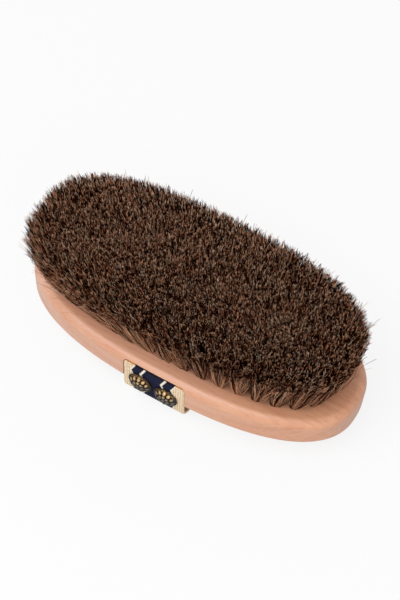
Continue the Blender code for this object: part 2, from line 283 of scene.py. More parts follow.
# The figure lies in tilted layers along the block, over fine fibres and the dark flecks that
# mark beech. The wood is warmer and faintly streaked towards the right end.
BEECH_PALE = linear(209, 168, 145)
BEECH_WARM = linear(209, 153, 118)
BEECH_PINK = linear(197, 138, 106)
BEECH_FLECK = linear(168, 110, 82)
BEECH_STREAK = linear(184, 122, 90)
BEECH_END = linear(184, 140, 117)
WARM_FROM_TO = (-0.06, 0.10)
RING_TILT = 45
FIGURE_SIZE = (0.160, 0.0045, 0.030)
FIGURE_SPAN = (0.34, 0.66)
FIGURE_SHARE = 0.7
FIBRE_SIZE = (0.030, 0.0009, 0.0009)
FIBRE_SPAN = (0.35, 0.70)
FLECK_SIZE = (0.0032, 0.0006, 0.0010)
FLECK_SPAN = (0.60, 0.74)
FLECK_SHARE = 0.35
FLECK_DIP = 0.4
STREAK_SIZE = (0.060, 0.0022, 0.0022)
STREAK_SPAN = (0.46, 0.68)
STREAKED_FROM_TO = (0.035, 0.085)
STREAK_SHARE = 0.5
END_GRAIN_SPAN = (0.35, 1.0)
END_GRAIN_SHARE = 0.6
BEECH_ROUGHNESS = 0.40
FIBRE_ROUGHNESS = 0.16
GRAIN_DEPTH = 0.00006

beech, beech_shader, wood = new_finish("beech", {"Coat Weight": 0.25, "Coat Roughness": 0.3})
place = wood.place()
place_x = place.part("X")
tilt = {"Vector": place, "Rotation": (math.radians(RING_TILT), 0, 0)}
figure = wood.add("ShaderNodeMapping", {}, tilt).cloud(FIGURE_SIZE, detail=3.0)
fibre = place.cloud(FIBRE_SIZE, detail=4.0)
flecks = place.cloud(FLECK_SIZE, detail=1.0).steep(*FLECK_SPAN)
streaks = place.cloud(STREAK_SIZE, detail=3.0).steep(*STREAK_SPAN)
streaks = streaks * place_x.steep(*STREAKED_FROM_TO)
facing_x = wood.add("ShaderNodeTexCoord", output="Normal").part("X")
end_grain = (facing_x * facing_x).steep(*END_GRAIN_SPAN)
pale = place_x.steep(*WARM_FROM_TO).between(BEECH_PALE, BEECH_WARM)
grain = figure.steep(*FIGURE_SPAN) * FIGURE_SHARE
grain = grain + fibre.steep(*FIBRE_SPAN) * (1 - FIGURE_SHARE)
timber = grain.between(pale, BEECH_PINK)
timber = (streaks * STREAK_SHARE).between(timber, BEECH_STREAK)
timber = (end_grain * END_GRAIN_SHARE).between(timber, BEECH_END)
timber = (flecks * FLECK_SHARE).between(timber, BEECH_FLECK)
drive(beech_shader, "Base Color", timber)
drive(beech_shader, "Roughness", fibre * FIBRE_ROUGHNESS + BEECH_ROUGHNESS)
drive(beech_shader, "Normal", (fibre - flecks * FLECK_DIP).dent(GRAIN_DEPTH))

# The side is a row of outlines from the back to the face, drawn in at both rims.
shares = np.arange(OUTLINE_POINTS) / OUTLINE_POINTS
outline = at_shares(oval(half_length, half_width, BLOCK_POWER), shares)
along_outline = np.roll(outline, -1, axis=0) - np.roll(outline, 1, axis=0)
out_of_side = np.stack([along_outline[:, 1], -along_outline[:, 0]], axis=1)
out_of_side /= np.linalg.norm(out_of_side, axis=1)[:, None]
quarter = np.linspace(0, math.pi / 2, RIM_STEPS + 1)
rims = [(BACK_RIM * (1 - math.sin(a)), back_z + BACK_RIM * (1 - math.cos(a))) for a in quarter]
rims += [(FACE_RIM * (1 - math.cos(a)), face_z - FACE_RIM * (1 - math.sin(a))) for a in quarter]
shape = bmesh.new()
rings = []
for inset, z in rims:
    corners = outline - inset * out_of_side
    rings.append([shape.verts.new((x, y, z)) for x, y in corners])
join_rings(shape, rings)
close_ends(shape, rings)
block = piece("beech_block", shape, beech)

# The notches and the tufts' holes are cut with one tool, and the nails' holes with another.
notch_floor = strap_high.y - STRAP_THICKNESS - FIT_GAP
notch_outside = half_width + OVERRUN
notch_top = strap_high.z + NOTCH_HEADROOM
notch_size = (
    strap_high.x - strap_low.x + 2 * FIT_GAP,
    notch_outside - notch_floor,
    notch_top - back_z + OVERRUN,
)
notch_x = (strap_low.x + strap_high.x) / 2
drill = bmesh.new()
for side in (-1, 1):
    middle = (notch_x, side * (notch_floor + notch_outside) / 2, notch_top - notch_size[2] / 2)
    bmesh.ops.create_cube(
        drill, size=1, matrix=Matrix.Translation(middle) @ Matrix.Diagonal((*notch_size, 1))
    )
top_corners = [
    edge
    for edge in drill.edges
    if edge.calc_length() < 2 * (notch_outside - notch_floor)
    and all(corner.co.z > notch_top - FIT_GAP for corner in edge.verts)
]
bmesh.ops.bevel(
    drill,
    geom=top_corners,
    offset=STRAP_CORNER,
    segments=NOTCH_CORNER_STEPS,
    profile=0.5,
    affect="EDGES",
)
for ring in range(RING_COUNT + 1):
    for x, y in hole_centres(ring):
        middle = Matrix.Translation((x, y, face_z + (OVERRUN - TUFT_HOLE_DEPTH) / 2))
        bore(drill, TUFT_HOLE_DIAMETER, TUFT_HOLE_DEPTH + OVERRUN, middle)
awl = bmesh.new()
for node in sorted(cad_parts):
    if node.endswith("tack_pin"):
        low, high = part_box(node)
        sideways = Matrix.Translation((low + high) / 2) @ Matrix.Rotation(math.pi / 2, 4, "X")
        bore(awl, PIN_HOLE_DIAMETER, high.y - low.y + 2 * FIT_GAP, sideways)
cutters = [piece("drill", drill, beech), piece("awl", awl, beech)]
for cutter in cutters:
    cut = block.modifiers.new(cutter.name, "BOOLEAN")
    cut.operation = "DIFFERENCE"
    cut.solver = "EXACT"
    cut.object = cutter
as_cut = block.evaluated_get(bpy.context.evaluated_depsgraph_get())
cut_mesh = bpy.data.meshes.new_from_object(as_cut)
block.modifiers.clear()
block.data = cut_mesh
for cutter in cutters:
    bpy.data.objects.remove(cutter)
block.data.set_sharp_from_angle(angle=math.radians(BLOCK_CREASE))
evened = block.modifiers.new("even_normals", "WEIGHTED_NORMAL")
evened.keep_sharp = True
set_on_brush(block, "beech", "block")

# The tufts are horsehair in mixed browns, each a bundle folded over a wire staple and driven
# into its hole. The hairs fan out from the hole, lean outwards in the outer ring, and are
# trimmed level, where they gather in small wisps and make one dense, ragged top.

# One hair: its bends as shares of the way from root to tip, and its width at all but the last.
HAIRS_IN_TUFT = 900
HAIRS_IN_PIECE = 6800
HAIR_SIDES = 3
HAIR_THICKNESS = 0.00023
THICKNESS_RANGE = (0.75, 1.25)
WIDTH_SHARES = np.array([0.8, 1.0, 1.0, 1.0, 0.95])
BEND_SHARES = np.array([0.0, 0.14, 0.42, 0.82, 0.975, 1.0])
FAN_POWER = 1.18
FLICK_POWER = 8
ROOT_REACH = 0.0024
ROOT_REACH_AT = 0.8
ROOT_SINK = 0.0025
TUFT_BELLY = 0.0004
HAIR_SEED = 11

# The trimmed top: how far it spreads past the roots, its outline and its lean.
END_SPLAY = 0.0127
SIDE_SPLAY = 0.0117
TIP_POWER = 2.7
TIP_LEAN = (-0.0029, 0.0008)
EDGE_SHARE = 0.15
ROW_TIP_SHARE = 0.93

# The wisps of a tuft, and what each hair, wisp and tuft adds of its own.
WISPS_ACROSS = 24
WISPS_DEEP = 25
WISP_PLACE_RANGE = (0.1, 0.9)
WISP_PULL_RANGE = (0.6, 1.0)
WISP_LEAN = 0.0010
WISP_RISE = 0.0004
WISP_BOW = 0.0009
WISP_HUE = 0.5
HAIR_RISE = 0.0004
HAIR_BOW = 0.0007
HAIR_FLICK = 0.0004
HAIR_TONE = 0.75
HAIR_HUE = 0.85
TONE_SKEW = 0.45
TUFT_HUE = 0.22

# Loose hairs stand anywhere, and strays lie in the outer fans at the near left.
LOOSE_SHARE = 0.03
LOOSE_FLICK = 0.0026
LOOSE_LEAN_SHARE = 0.7
STRAY_SHARE = 0.012
STRAY_INWARD_SHARE = 0.15
STRAY_FLICK = 0.0050
STRAY_TONE = 2.2

# Hairs at the edge are sprung outwards, most of all at one corner.
SPRUNG_REACH = 0.0010
SPRUNG_CORNER_REACH = 0.0052
SPRUNG_CORNER = (-0.80, -0.60)
SPRUNG_CORNER_POWER = 6
SPRUNG_DEPTH = 0.6
SPRUNG_RANGE = (0.2, 1)
SPRUNG_DROP_SHARE = 0.9

# How open to view the outer hairs lie, and how far towards the left end they lie, which sets the
# strays there and the painted light on the outer fans.
OPEN_AT_EDGE = 1.5
OPEN_LOSS = 3
LEFTNESS_MIDDLE = 0.35
LEFTNESS_LEAST = 0.15

tip_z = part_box("bristle_ring_1")[1].z
tip_half_length = root_half_length + END_SPLAY
tip_half_width = root_half_width + SIDE_SPLAY
tip_step = 2 * tip_half_width / (2 * RING_COUNT + 1)
rng = np.random.default_rng(HAIR_SEED)


def tip_patches(ring):
    """The corners of each tuft's patch of tips: outer start, outer end, inner end, inner start."""
    count = len(hole_centres(ring))
    if ring < RING_COUNT:
        outer, inner = [
            oval(tip_half_length - level * tip_step, tip_half_width - level * tip_step, TIP_POWER)
            for level in (ring or -EDGE_SHARE, ring + 1)
        ]
        starts = np.arange(count) / count
        ends = starts + 1 / count
        patches = [
            at_shares(outer, starts),
            at_shares(outer, ends),
            at_shares(inner, ends),
            at_shares(inner, starts),
        ]
    else:
        inner_half = tip_half_length - RING_COUNT * tip_step
        x = np.linspace(-1, 1, count + 1) * ROW_TIP_SHARE * inner_half
        y = tip_step / 2 * (1 - np.abs(x / inner_half) ** TIP_POWER) ** (1 / TIP_POWER)
        patches = [
            np.stack([x[:-1], -y[:-1]], axis=1),
            np.stack([x[1:], -y[1:]], axis=1),
            np.stack([x[1:], y[1:]], axis=1),
            np.stack([x[:-1], y[:-1]], axis=1),
        ]
    return np.stack(patches, axis=1) + np.array(TIP_LEAN)


def in_patch(patch, across, inward):
    """Points in each patch, by how far across it and how far inwards they lie, from 0 to 1."""
    across = across[..., None]
    inward = inward[..., None]
    outer = patch[:, None, 0] * (1 - across) + patch[:, None, 1] * across
    inner = patch[:, None, 3] * (1 - across) + patch[:, None, 2] * across
    return outer * (1 - inward) + inner * inward


def at_height(places, height):
    """Places on the plan as one list of points in space."""
    flat = places.reshape(-1, 2)
    return np.column_stack([flat, np.broadcast_to(height, len(flat))])


def grow_tufts(ring):
    """The lines of a ring's hairs (roots, tips, bows and flicks), and the shades of the hairs."""
    holes = hole_centres(ring)
    patches = tip_patches(ring)
    shape = (len(holes), HAIRS_IN_TUFT)
    across = rng.uniform(0, 1, shape)
    inward = rng.uniform(0, 1, shape)
    freedom = rng.uniform(0, 1, shape)

    # Some hairs are loose, and a few strays lie in the outer fans at the near left.
    outward = patches[:, :2].mean(axis=1) - patches[:, 2:].mean(axis=1)
    outward /= np.linalg.norm(outward, axis=1)[:, None]
    leftness = np.clip(LEFTNESS_MIDDLE - holes[:, 0] / root_half_length, LEFTNESS_LEAST, 1)
    nearness = np.clip(-outward[:, 1], 0, 1)
    strays = STRAY_SHARE * (nearness * leftness) ** 2 * (ring == 0)
    stray = freedom < strays[:, None]
    loose = freedom < LOOSE_SHARE
    inward = np.where(stray, inward * STRAY_INWARD_SHARE, inward)
    spread = in_patch(patches, across, inward)

    # The roots repeat the tips' order in the small round of the hole.
    middle = patches.mean(axis=1)[:, None]
    spokes = spread - middle
    widest = np.linalg.norm(patches - middle, axis=2).max(axis=1)[:, None, None]
    roots = holes[:, None] + spokes * ROOT_REACH / (ROOT_REACH_AT * widest)
    bellies = spokes / widest * TUFT_BELLY

    # The tips flick towards the middle of their wisp, and loose hairs lean away on their own.
    wisps = (len(holes), WISPS_DEEP, WISPS_ACROSS)
    tuft = np.arange(len(holes))[:, None]
    wisp = (tuft, (inward * WISPS_DEEP).astype(int), (across * WISPS_ACROSS).astype(int))
    wisp_across = np.arange(WISPS_ACROSS) + rng.uniform(*WISP_PLACE_RANGE, wisps)
    wisp_inward = np.arange(WISPS_DEEP)[:, None] + rng.uniform(*WISP_PLACE_RANGE, wisps)
    wisp_across = (wisp_across / WISPS_ACROSS)[wisp]
    wisp_inward = (wisp_inward / WISPS_DEEP)[wisp]
    gathered = in_patch(patches, wisp_across, wisp_inward)
    pull = rng.uniform(*WISP_PULL_RANGE, wisps)[wisp][..., None]
    lean = rng.normal(0, WISP_LEAN, (*wisps, 2))[wisp]
    reach = np.where(stray, STRAY_FLICK, np.where(loose, LOOSE_FLICK, HAIR_FLICK))[..., None]
    drift = rng.normal(0, 1, (*shape, 2)) * reach
    leaning = drift * LOOSE_LEAN_SHARE * (stray | loose)[..., None]
    flicks = (gathered - spread) * pull + lean + drift - leaning
    spread = spread + leaning

    # The outer hairs are sprung outwards, most of all at one corner, which also lowers them.
    rise = rng.normal(0, WISP_RISE, wisps)[wisp] + rng.normal(0, HAIR_RISE, shape)
    if ring == 0:
        cornered = np.clip(outward @ np.array(SPRUNG_CORNER), 0, 1) ** SPRUNG_CORNER_POWER
        sprung = SPRUNG_REACH + (SPRUNG_CORNER_REACH - SPRUNG_REACH) * cornered
        shallow = np.clip(1 - inward / SPRUNG_DEPTH, 0, 1)
        sprung = sprung[:, None] * shallow * rng.uniform(*SPRUNG_RANGE, shape)
        spread = spread + sprung[..., None] * outward[:, None]
        rise = rise - sprung * SPRUNG_DROP_SHARE

    # The hairs of a wisp share most of their shade and their bow, so the fans show locks.
    tone = rng.normal(0, 1, wisps)[wisp] + HAIR_TONE * rng.normal(0, 1, shape)
    tone = np.expm1(TONE_SKEW * tone) / TONE_SKEW + stray * STRAY_TONE
    hue = WISP_HUE * rng.normal(0, 1, wisps)[wisp] + HAIR_HUE * rng.normal(0, 1, shape)
    hue = hue + TUFT_HUE * rng.normal(0, 1, (len(holes), 1))
    open_side = np.clip(OPEN_AT_EDGE - OPEN_LOSS * inward, 0, 1) * (ring == 0)
    # Painted light on the open outer fans, strongest towards the left end.
    paled = open_side * leftness[:, None]
    bow = rng.normal(0, WISP_BOW, (*wisps, 2))[wisp] + rng.normal(0, HAIR_BOW, (*shape, 2))

    lines = (
        at_height(roots, face_z - ROOT_SINK),
        at_height(spread, (tip_z + rise).reshape(-1)),
        at_height(bellies + bow, 0),
        at_height(flicks, 0),
    )
    shades = {"tone": tone, "hue": hue, "open": open_side, "paled": paled}
    return lines, {name: values.reshape(-1) for name, values in shades.items()}


def hair_piece(name, lines, shades, thickness):
    """Closed three-sided hairs that taper to a point, as one object."""
    roots, tips, bows, flicks = lines
    count = len(roots)
    run = BEND_SHARES[None, :, None]
    progress = np.concatenate([run**FAN_POWER, run**FAN_POWER, run], axis=2)
    line = roots[:, None] + (tips - roots)[:, None] * progress
    line = line + bows[:, None] * np.sin(math.pi * run) + flicks[:, None] * run**FLICK_POWER
    round_turn = np.arange(HAIR_SIDES) * 2 * math.pi / HAIR_SIDES
    turn = rng.uniform(0, 2 * math.pi, (count, 1)) + round_turn
    round_hair = np.stack([np.cos(turn), np.sin(turn), np.zeros_like(turn)], axis=2)
    radius = (thickness / 2)[:, None] * WIDTH_SHARES
    sleeves = line[:, :-1, None] + radius[:, :, None, None] * round_hair[:, None]
    points = np.concatenate([sleeves.reshape(count, -1, 3), line[:, -1:]], axis=1)

    faces = [[2, 1, 0]]
    last = (len(WIDTH_SHARES) - 1) * HAIR_SIDES
    for low in range(0, last, HAIR_SIDES):
        high = low + HAIR_SIDES
        for i in range(HAIR_SIDES):
            j = (i + 1) % HAIR_SIDES
            faces += [[low + i, low + j, high + j], [low + i, high + j, high + i]]
    point = last + HAIR_SIDES
    faces += [[last + i, last + (i + 1) % HAIR_SIDES, point] for i in range(HAIR_SIDES)]
    stride = points.shape[1]
    starts = (np.arange(count) * stride)[:, None, None]
    mesh = bpy.data.meshes.new(name)
    mesh.from_pydata(points.reshape(-1, 3), [], (np.array(faces)[None] + starts).reshape(-1, 3))
    mesh.materials.append(horsehair)
    mesh.shade_smooth()

    along = np.append(np.repeat(BEND_SHARES[:-1], HAIR_SIDES), 1.0)
    layers = {shade: np.repeat(values, stride) for shade, values in shades.items()}
    layers["along"] = np.tile(along, count)
    for shade, values in layers.items():
        layer = mesh.attributes.new(shade, "FLOAT", "POINT")
        layer.data.foreach_set("value", values.astype(np.float32))
    return put_in_scene(name, mesh)


# Rust and brown hair, each from its darkest to its palest.
RUST_STOPS = [
    (0.0, linear(12, 2, 0)),
    (0.34, linear(37, 10, 2)),
    (0.54, linear(98, 36, 16)),
    (0.74, linear(157, 84, 54)),
    (1.0, linear(210, 158, 122)),
]
BROWN_STOPS = [
    (0.0, linear(11, 4, 1)),
    (0.34, linear(32, 14, 4)),
    (0.54, linear(82, 44, 25)),
    (0.74, linear(146, 100, 74)),
    (1.0, linear(224, 204, 182)),
]

# Where the painted highlights at the points, the painted shade in the gaps between tips and the
# painted shade at the feet lie along a hair.
TIP_HIGHLIGHT_SPAN = (0.95, 0.99)
GAP_SHADE_SPAN = (0.68, 0.95)
FOOT_SHADE_SPAN = (0.11, 0.06)

# The place on those rows of colours, with the painted light and shade that move it, and the share
# of brown against rust.
HAIR_LIGHTNESS = 0.115
TONE_REACH = 0.49
OPEN_TONE_REACH = 0.5
LIT_LEFT_TONE_REACH = 0.20
LIT_LEFT_LIGHT = 0.16
TIP_HIGHLIGHT = 0.20
GAP_SHADE_DEPTH = 0.42
GAP_SHADE_EASED_BY_OPEN = 0.8
FOOT_SHADE_DEPTH = 0.18
ROOT_PAINTED_LIGHT = 0.50
OPEN_ROOT_PAINTED_LIGHT = 0.22
OPEN_FAN_PAINTED_LIGHT = 0.75
BROWN_SHARE = 0.27
HUE_REACH = 0.38
ROOT_RUST = 0.80
OPEN_RUST = 0.34

# Hairs are more rust coloured towards the foot, which the fans at the sides show. They are also
# painted lighter towards the foot, most on the open outer fans, as painted light on those fans.
horsehair, horsehair_shader, hair = new_finish(
    "horsehair", {"Roughness": 0.5, "Specular IOR Level": 0.02}
)
along = hair.stored("along")
rootward = 1 - along
open_side = hair.stored("open")
# Painted highlight: the points of the hairs are lighter, standing in for glints.
points = along.steep(*TIP_HIGHLIGHT_SPAN)
# Painted light on the outer fans towards the left end.
paled = hair.stored("paled") * (1 - points)
# Painted shade in the gaps below the tips, with less of it on the open outer hairs.
gap_shade = along.steep(*GAP_SHADE_SPAN) * (1 - points) * (1 - open_side * GAP_SHADE_EASED_BY_OPEN)
# Painted shade at the feet, where the hairs leave their holes.
foot_shade = along.steep(*FOOT_SHADE_SPAN)
tone_reach = rootward * open_side * OPEN_TONE_REACH + paled * LIT_LEFT_TONE_REACH + TONE_REACH
# Painted light on the fans: hairs are lighter towards the foot, most of all the open outer hairs.
fan_painted_light = open_side * OPEN_ROOT_PAINTED_LIGHT + ROOT_PAINTED_LIGHT + open_side * along * along * OPEN_FAN_PAINTED_LIGHT
lightness = hair.stored("tone") * tone_reach + paled * LIT_LEFT_LIGHT + HAIR_LIGHTNESS
lightness = lightness + points * TIP_HIGHLIGHT - gap_shade * GAP_SHADE_DEPTH - foot_shade * FOOT_SHADE_DEPTH
lightness = lightness + rootward * fan_painted_light
browned = hair.stored("hue") * HUE_REACH + BROWN_SHARE - rootward * ROOT_RUST
browned = (browned - open_side * OPEN_RUST).steep(0, 1)
hair_colour = browned.between(lightness.ramp(RUST_STOPS), lightness.ramp(BROWN_STOPS))
drive(horsehair_shader, "Base Color", hair_colour)

RING_NAMES = ("outer", "second", "third", "middle")
RING_NODES = ("bristle_ring_1", "bristle_ring_2", "bristle_ring_3", "bristle_middle_row")
for ring in range(RING_COUNT + 1):
    lines, shades = grow_tufts(ring)
    count = len(lines[0])
    thickness = HAIR_THICKNESS * rng.uniform(*THICKNESS_RANGE, count)
    parts = math.ceil(count / HAIRS_IN_PIECE)
    for i, share in enumerate(np.array_split(np.arange(count), parts)):
        made = hair_piece(
            f"{RING_NAMES[ring]}_hair_{i + 1}",
            [places[share] for places in lines],
            {name: values[share] for name, values in shades.items()},
            thickness[share],
        )
        set_on_brush(made, "horsehair", RING_NODES[ring])

# The hand strap is one length of navy cotton webbing, 38 mm wide, with ribbed cream edges and
# two fine white zigzags. It hangs in a loop under the back, and each end lies in a notch.
STRAP_BEND_RADIUS = 0.012
RUN_STEP = 0.0005
ACROSS_STEPS = 76
EDGE_ROUND = 0.0010
EDGE_FLAT = 0.12
STRAP_CREASE = 60

strap_width = strap_high.x - strap_low.x
strap_middle_x = (strap_low.x + strap_high.x) / 2
middle_y = strap_high.y - STRAP_THICKNESS / 2
bend_middle = STRAP_BEND_RADIUS - STRAP_THICKNESS / 2
side_length = strap_high.z - STRAP_BEND_RADIUS
bend_length = bend_middle * math.pi / 2
flat_length = 2 * (middle_y - bend_middle)
strap_length = 2 * (side_length + bend_length) + flat_length


def on_strap(run):
    """The place (y, z) and outward direction (y, z) at a length along the strap's middle layer."""
    half = strap_length / 2
    mirrored = -1 if run <= half else 1
    rest = run if run <= half else strap_length - run
    if rest < side_length:
        return (mirrored * middle_y, strap_high.z - rest), (mirrored, 0)
    rest -= side_length
    if rest < bend_length:
        turn = rest / bend_middle
        y = middle_y - bend_middle * (1 - math.cos(turn))
        z = STRAP_BEND_RADIUS - bend_middle * math.sin(turn)
        return (mirrored * y, z), (mirrored * math.cos(turn), -math.sin(turn))
    rest -= bend_length
    return (mirrored * (middle_y - bend_middle - rest), STRAP_THICKNESS / 2), (0, -1)


# The pattern across the webbing, measured from its middle, and the threads that make it.
CREAM_INNER = 0.01255
WHITE_LINE_AT = 0.0064
WHITE_LINE_WIDTH = 0.0014
BORDER_LINE_WIDTH = 0.0007
EDGE_SOFT = 0.00015
ZIGZAG_REACH = 0.00115
ZIGZAG_LENGTH = 0.0112
ZIGZAG_SHIFT = -0.00065
RIB_PITCH = 0.00145
RIB_HEIGHT = 0.00015
RIB_SHADE = 0.25
PICK_PITCH = 0.0011
PICK_HEIGHT = 0.00007
PICK_SHADE = 0.2
TWILL_SHADE = 0.2
THREAD_RELIEF = 0.5
FUZZ_SIZE = (0.0007, 0.0007, 0.0007)
NAVY_FUZZ_SPAN = (0.3, 0.7)
CREAM_FUZZ_SPAN = (0.25, 0.7)
WEAVE_DEPTH = 0.00008
# How far the painted shade in the notch reaches along the strap and in from its face.
NOTCH_SHADE_LENGTH = 0.0003
NOTCH_SHADE_FROM_FACE = (0.0006, 0.0009)

NAVY = linear(20, 24, 60)
NAVY_DARK = linear(4, 5, 14)
CREAM = linear(240, 218, 188)
CREAM_SHADE = linear(186, 158, 122)
WHITE_YARN = linear(228, 219, 202)
# Painted shade under the notch's top edge: dark brown over navy, orange-brown over cream.
NOTCH_SHADE_NAVY = linear(34, 18, 12)
NOTCH_SHADE_CREAM = linear(190, 130, 72)

webbing, webbing_shader, yarn = new_finish("webbing", {"Roughness": 0.9, "Specular IOR Level": 0.2})
place = yarn.place()
across = yarn.stored("across")
run = yarn.stored("run")
zigzag = (run + ZIGZAG_LENGTH / 2).maths("PINGPONG", ZIGZAG_LENGTH / 2)
zigzag = zigzag * (4 * ZIGZAG_REACH / ZIGZAG_LENGTH) + (ZIGZAG_SHIFT - ZIGZAG_REACH)
from_middle = abs(across - zigzag)
cream = from_middle.steep(CREAM_INNER - EDGE_SOFT, CREAM_INNER + EDGE_SOFT)
off_line = abs(from_middle - WHITE_LINE_AT)
off_border = abs(from_middle - CREAM_INNER)
line = off_line.steep(WHITE_LINE_WIDTH / 2 + EDGE_SOFT, WHITE_LINE_WIDTH / 2 - EDGE_SOFT)
border = off_border.steep(BORDER_LINE_WIDTH / 2 + EDGE_SOFT, BORDER_LINE_WIDTH / 2 - EDGE_SOFT)
picks = (run * (2 * math.pi / PICK_PITCH)).maths("SINE")
ribs = (across * (2 * math.pi / RIB_PITCH)).maths("COSINE")
twill = ((run + across) * (2 * math.pi / RIB_PITCH)).maths("SINE")
fuzz = place.cloud(FUZZ_SIZE, detail=3.0)
# The picks, twill and ribs darken the cloth in the hollows between threads, a painted shade, over
# the yarn's own mottle.
navy_thread = picks * PICK_SHADE + fuzz.steep(*NAVY_FUZZ_SPAN)
cream_thread = twill * TWILL_SHADE + ribs * RIB_SHADE + fuzz.steep(*CREAM_FUZZ_SPAN)
navy_cloth = navy_thread.between(NAVY_DARK, NAVY)
cream_cloth = cream_thread.between(CREAM_SHADE, CREAM)
cloth = cream.between(navy_cloth, cream_cloth)
cloth = line.maths("MAXIMUM", border).between(cloth, WHITE_YARN)
# The end of the strap, deep in the notch, is darkened: painted shade under the notch's top edge.
from_end = run.maths("PINGPONG", strap_length / 2)
notch_shade = from_end.steep(NOTCH_SHADE_LENGTH + EDGE_SOFT, NOTCH_SHADE_LENGTH - EDGE_SOFT)
notch_shade = notch_shade * abs(place.part("Y")).steep(*[strap_high.y - depth for depth in NOTCH_SHADE_FROM_FACE])
cloth = notch_shade.between(cloth, cream.between(NOTCH_SHADE_NAVY, NOTCH_SHADE_CREAM))
drive(webbing_shader, "Base Color", cloth)
threads = picks * THREAD_RELIEF + twill * THREAD_RELIEF + fuzz
drive(webbing_shader, "Normal", threads.dent(WEAVE_DEPTH))

# The strap is a row of flat rings along its length, with ribs and picks raised on its faces
# and the corners of its ends rounded off.
runs = np.append(np.arange(0, strap_length, RUN_STEP), strap_length)
sides = np.linspace(-strap_width / 2, strap_width / 2, ACROSS_STEPS + 1)
shape = bmesh.new()
across_layer = shape.verts.layers.float.new("across")
run_layer = shape.verts.layers.float.new("run")
rings = []
for length in runs:
    (y, z), (out_y, out_z) = on_strap(length)
    ring = []
    short = max(0.0, STRAP_CORNER - min(length, strap_length - length))
    trimmed = strap_width / 2 - STRAP_CORNER + math.sqrt(STRAP_CORNER**2 - short**2)
    pick = PICK_HEIGHT * (math.sin(2 * math.pi * length / PICK_PITCH) - 1)
    for face in (1, -1):
        for side in sides[::face] * (trimmed / (strap_width / 2)):
            edge = trimmed - abs(side)
            half = STRAP_THICKNESS / 2
            if edge < EDGE_ROUND:
                half *= math.sqrt(max(EDGE_FLAT, 1 - (1 - edge / EDGE_ROUND) ** 2))
            ribbed = min(max((abs(side) - CREAM_INNER) / RIB_PITCH, 0), 1)
            rib = RIB_HEIGHT * ribbed * (abs(math.cos(math.pi * side / RIB_PITCH)) - 1)
            lift = face * (half + rib + pick)
            corner = shape.verts.new((strap_middle_x + side, y + out_y * lift, z + out_z * lift))
            corner[across_layer] = side
            corner[run_layer] = length
            ring.append(corner)
    rings.append(ring)
join_rings(shape, rings)
close_ends(shape, rings)
bmesh.ops.recalc_face_normals(shape, faces=shape.faces)
strap = piece("webbing_strap", shape, webbing, crease=STRAP_CREASE)
set_on_brush(strap, "webbing", "strap")

# Four nails hold the strap, two at each end. Each is a cap stamped from brass sheet with a
# rosette and a beaded border, darkened and rubbed bright on its high spots, over a steel pin.
CAP_TURNS = 144
CAP_RINGS = 34
CAP_HOLLOW_RINGS = 8
CAP_SHEET = 0.0006
CAP_CREASE = 75
CAP_RIM_WIDTH = 0.0008
CAP_RIM_HEIGHT = 0.0007
CAP_RIM_STEPS = 7
RELIEF = 0.0004
PETALS = 8
PETAL_AT = 0.0027
PETAL_LENGTH = 0.0013
PETAL_NARROWING = 1.15
BEADS = 12
BEAD_AT = 0.0053
BEAD_RADIUS = 0.0011
BOSS_RADIUS = 0.0011
PLAIN_LEVEL = 0.45
PLAIN_FROM = BEAD_AT + BEAD_RADIUS * 0.8
UNSTAMPED_SHADE = 0.35

# The finish is rubbed bright where the relief stands high. A painted highlight lightens the top of
# the cap, and a painted shade greys its lower part.
RUBBED_AND_LIT_STOPS = [
    (0.0, linear(52, 34, 20)),
    (0.5, linear(116, 92, 64)),
    (1.0, linear(216, 186, 140)),
]
SHADED_LOWER_STOPS = [
    (0.0, linear(46, 40, 34)),
    (0.5, linear(84, 78, 72)),
    (1.0, linear(126, 118, 108)),
]
TARNISH_SIZE = (0.0007, 0.0007, 0.0007)
TARNISH_REACH = 1.4
TARNISH_COVER = 0.70
TARNISH_DEPTH = 0.00003
RUBBED_SPAN = (0.1, 1.0)
LIT_ABOVE_BACK = (0.0042, 0.0072)
BRASS_ROUGHNESS = 0.66
RUBBED_POLISH = 0.16
STEEL_GREY = linear(150, 150, 152)
DRAWN_SIZE = (0.0003, 0.003, 0.0003)
STEEL_ROUGHNESS = 0.25
DRAWN_ROUGHNESS = 0.2

antique_brass, brass_shader, brass = new_finish("antique_brass", {"Metallic": 1.0})
place = brass.place()
tarnish = place.cloud(TARNISH_SIZE, detail=3.0)
rubbed = brass.stored("relief") + tarnish * TARNISH_REACH - TARNISH_COVER
rubbed = rubbed.steep(*RUBBED_SPAN)
# Painted light and shade: the cap's upper part takes the lit colours and its lower part the shaded
# ones.
upper = place.part("Z").steep(*[back_z + above for above in LIT_ABOVE_BACK])
worn_and_lit = upper.between(rubbed.ramp(SHADED_LOWER_STOPS), rubbed.ramp(RUBBED_AND_LIT_STOPS))
drive(brass_shader, "Base Color", worn_and_lit)
drive(brass_shader, "Roughness", BRASS_ROUGHNESS - rubbed * RUBBED_POLISH)
drive(brass_shader, "Normal", tarnish.dent(TARNISH_DEPTH))

steel, steel_shader, wire_steel = new_finish(
    "pin_steel", {"Metallic": 1.0, "Base Color": STEEL_GREY}
)
drawn = wire_steel.place().cloud(DRAWN_SIZE)
drive(steel_shader, "Roughness", drawn * DRAWN_ROUGHNESS + STEEL_ROUGHNESS)


def stamped(radius, turn):
    """How high the stamped pattern stands at a place on the cap, from 0 to 1."""
    boss = max(0.0, 1 - (radius / BOSS_RADIUS) ** 2)
    lean = math.remainder(turn, 2 * math.pi / PETALS) * PETALS / math.pi
    petal = 1 - ((radius - PETAL_AT) / PETAL_LENGTH) ** 2 - (PETAL_NARROWING * lean) ** 2
    bead_turn = math.remainder(turn, 2 * math.pi / BEADS) * BEAD_AT
    bead = 1 - ((radius - BEAD_AT) ** 2 + bead_turn**2) / BEAD_RADIUS**2
    plain = PLAIN_LEVEL**2 if radius > PLAIN_FROM else 0.0
    return math.sqrt(max(boss, petal, bead, plain))


